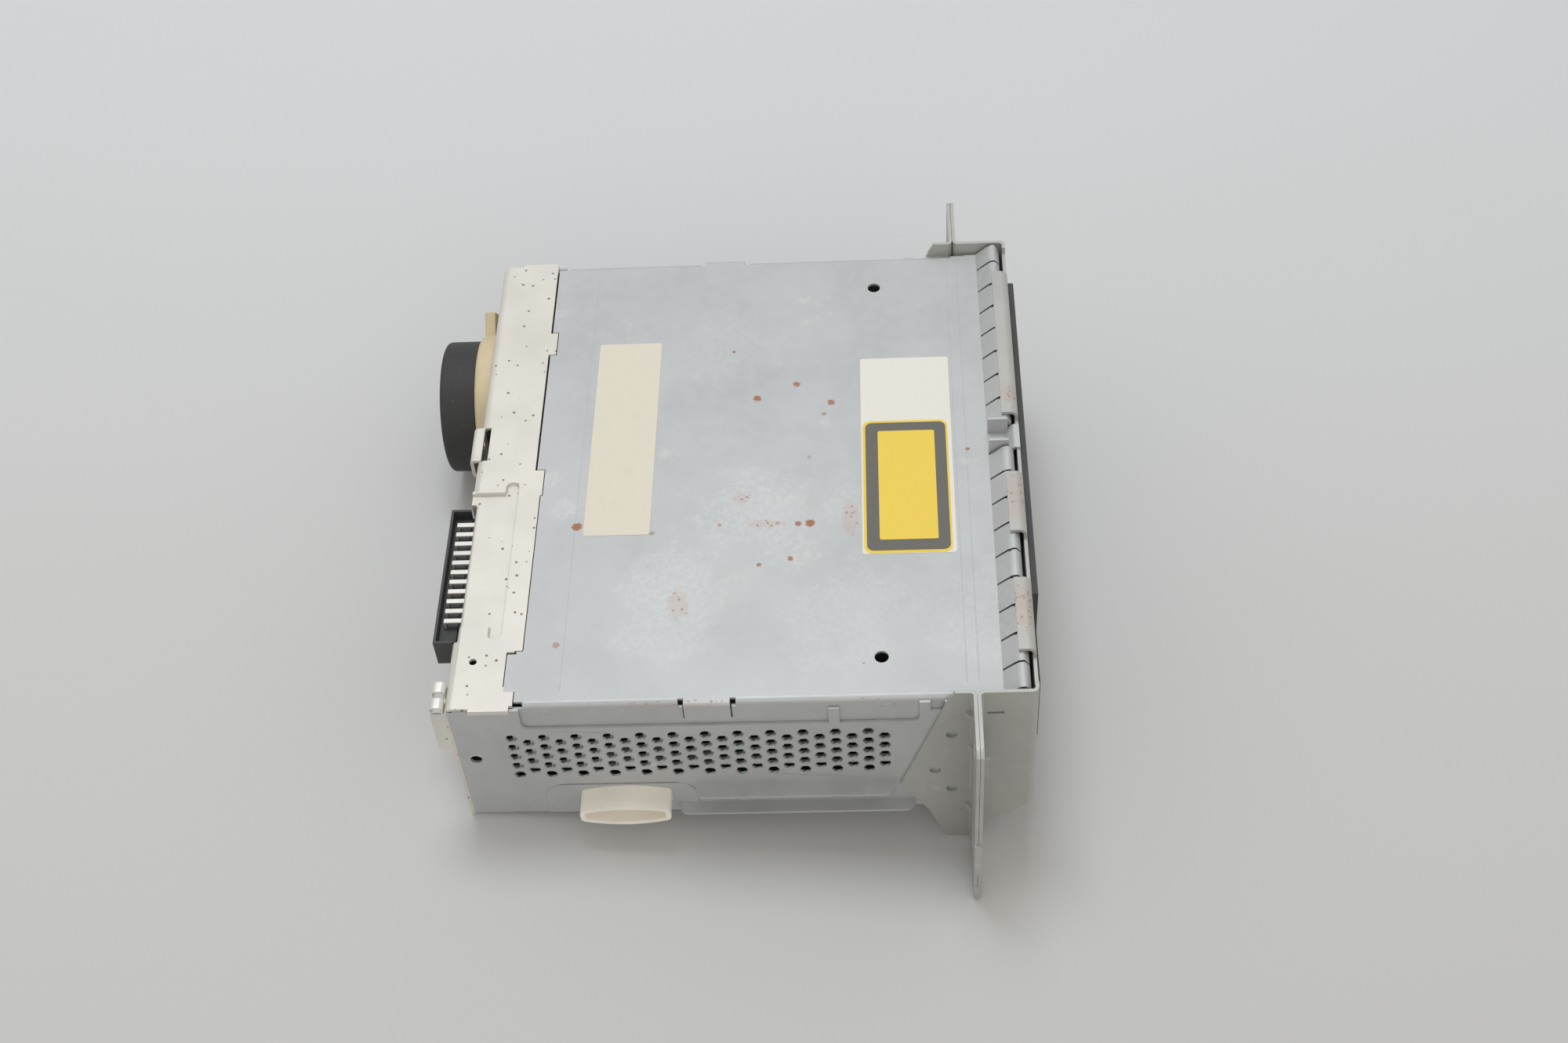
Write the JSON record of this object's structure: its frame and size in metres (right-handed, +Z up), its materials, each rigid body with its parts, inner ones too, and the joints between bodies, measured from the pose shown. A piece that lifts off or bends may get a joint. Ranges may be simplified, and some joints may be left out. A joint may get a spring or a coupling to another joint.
{
  "type": "car cd player",
  "caption": "Slot-loading disc player for a car: folded steel case with doubled mounting ears, spring-finger front, rear buffer and loading mechanism.",
  "frame": {"origin": "centre of the four mounting-flange holes, mid-thickness of the ears", "axes": "+X out of the front, towards the disc slot; +Y to the far side of the case; +Z up"},
  "size_m": [0.187, 0.2228, 0.072],
  "materials": {
    "zinc_steel": "matt zinc-plated steel, dulled",
    "tinned_steel": "satin tin-plated steel with specks",
    "bracket_steel": "satin plated steel with bright cut edges",
    "black_plastic": "fine moulded texture",
    "black_rubber": "matt, scuffed",
    "cream_nylon": "yellowed nylon",
    "white_nylon": "natural nylon",
    "bright_contact": "tinned, bright",
    "circuit_board": "solder mask",
    "component_black": "epoxy",
    "felt": "short pile",
    "inner_steel": "bright zinc",
    "motor_can": "nickel-plated can",
    "gear_plastic": "acetal",
    "polished_steel": "ground shaft",
    "lens_glass": "coated lens",
    "can_aluminium": "sleeved can"
  },
  "bodies": {
    "case": {"chassis_tray": "zinc_steel", "top_cover": "zinc_steel", "rear_panel": "tinned_steel", "front_bracket": "bracket_steel", "front_bezel": "black_plastic", "slot_felts": "felt", "rear_buffer_hub": "cream_nylon", "rear_buffer_ring": "black_rubber", "connector_housing": "black_plastic", "connector_contacts": "bright_contact", "jack_board": "circuit_board", "earth_clip": "bright_contact", "guide_shoe_near": "white_nylon", "guide_shoe_far": "white_nylon", "main_board": "circuit_board", "board_chips": "component_black", "board_capacitors": "can_aluminium", "deck_posts": "inner_steel", "deck_dampers": "black_rubber", "deck_base": "inner_steel", "guide_plate": "inner_steel", "load_motor": "motor_can", "spindle_motor": "motor_can", "guide_rod": "polished_steel", "sled_motor": "motor_can"},
    "flap": {"dust_flap": "black_plastic"},
    "pinion": {"motor_pinion": "gear_plastic"},
    "idler": {"idler_gear": "gear_plastic"},
    "roller": {"roller_shaft": "polished_steel", "roller_rubbers": "black_rubber"},
    "roller_yoke": {"roller_arm": "inner_steel"},
    "cam": {"cam_slide": "gear_plastic"},
    "clamp": {"clamp_arm": "inner_steel"},
    "clamp_puck": {"clamper": "black_plastic"},
    "table": {"turntable": "black_plastic"},
    "feed_screw": {"lead_screw": "polished_steel"},
    "sled": {"pickup_sled": "black_plastic"},
    "lens": {"objective_lens": "lens_glass"},
    "lever_far": {"sensor_lever_far": "gear_plastic"},
    "lever_near": {"sensor_lever_near": "gear_plastic"}
  },
  "joints": [
    {"name": "dust_flap_hinge", "type": "hinge", "parent": "case", "child": "flap", "pos_m": [0.0142, 0, 0.00835], "axis": [0, 1, 0], "range_deg": [0, 70], "stiffness_Nm_per_rad": 0.0004, "springref_deg": -17.19},
    {"name": "idler_spin", "type": "hinge", "parent": "case", "child": "idler", "pos_m": [-0.0066, 0.072, 0.01585], "axis": [0, 1, 0], "continuous": true},
    {"name": "pinion_spin", "type": "hinge", "parent": "case", "child": "pinion", "pos_m": [-0.0201, 0.072, 0.02085], "axis": [0, 1, 0], "continuous": true},
    {"name": "cam_slide_travel", "type": "slide", "parent": "case", "child": "cam", "axis": [-1, 0, 0], "range_m": [0, 0.01]},
    {"name": "roller_arm_hinge", "type": "hinge", "parent": "case", "child": "roller_yoke", "pos_m": [-0.0206, 0, -0.00315], "axis": [0, 1, 0], "range_deg": [0, 12]},
    {"name": "roller_spin", "type": "hinge", "parent": "roller_yoke", "child": "roller", "pos_m": [-0.0066, 0, -0.00015], "axis": [0, 1, 0], "continuous": true},
    {"name": "clamp_arm_hinge", "type": "hinge", "parent": "case", "child": "clamp", "pos_m": [-0.1186, 0, 0.01385], "axis": [0, 1, 0], "range_deg": [0, 7.2]},
    {"name": "clamper_spin", "type": "hinge", "parent": "clamp", "child": "clamp_puck", "pos_m": [-0.0618, 0, 0.01901], "axis": [-0.1253, 0, 0.9921], "continuous": true},
    {"name": "turntable_spin", "type": "hinge", "parent": "case", "child": "table", "pos_m": [-0.0616, 0, 0.00085], "axis": [0, 0, 1], "continuous": true},
    {"name": "sled_travel", "type": "slide", "parent": "case", "child": "sled", "axis": [-1, 0, 0], "range_m": [0, 0.035]},
    {"name": "feed_screw_spin", "type": "hinge", "parent": "case", "child": "feed_screw", "pos_m": [-0.0966, 0.019, -0.01095], "axis": [1, 0, 0], "range_deg": [0, 4201]},
    {"name": "lens_focus", "type": "slide", "parent": "sled", "child": "lens", "axis": [0, 0, 1], "range_m": [-0.0006, 0.0006], "stiffness_N_per_m": 40},
    {"name": "lever_far_hinge", "type": "hinge", "parent": "case", "child": "lever_far", "pos_m": [-0.0166, 0.058, 0.01085], "axis": [0, 0, 1], "range_deg": [0, 45], "stiffness_Nm_per_rad": 0.0005, "springref_deg": -11.46},
    {"name": "lever_near_hinge", "type": "hinge", "parent": "case", "child": "lever_near", "pos_m": [-0.0166, -0.058, 0.01085], "axis": [0, 0, -1], "range_deg": [0, 45], "stiffness_Nm_per_rad": 0.0005, "springref_deg": -11.46}
  ],
  "couplings": [
    {"joint": "pinion_spin", "follows": "idler_spin", "ratio": -2},
    {"joint": "roller_spin", "follows": "idler_spin", "ratio": -1.5},
    {"joint": "roller_arm_hinge", "follows": "cam_slide_travel", "rad_per_m": 20.944},
    {"joint": "clamp_arm_hinge", "follows": "cam_slide_travel", "rad_per_m": 12.566},
    {"joint": "feed_screw_spin", "follows": "sled_travel", "rad_per_m": 2094.4}
  ]
}
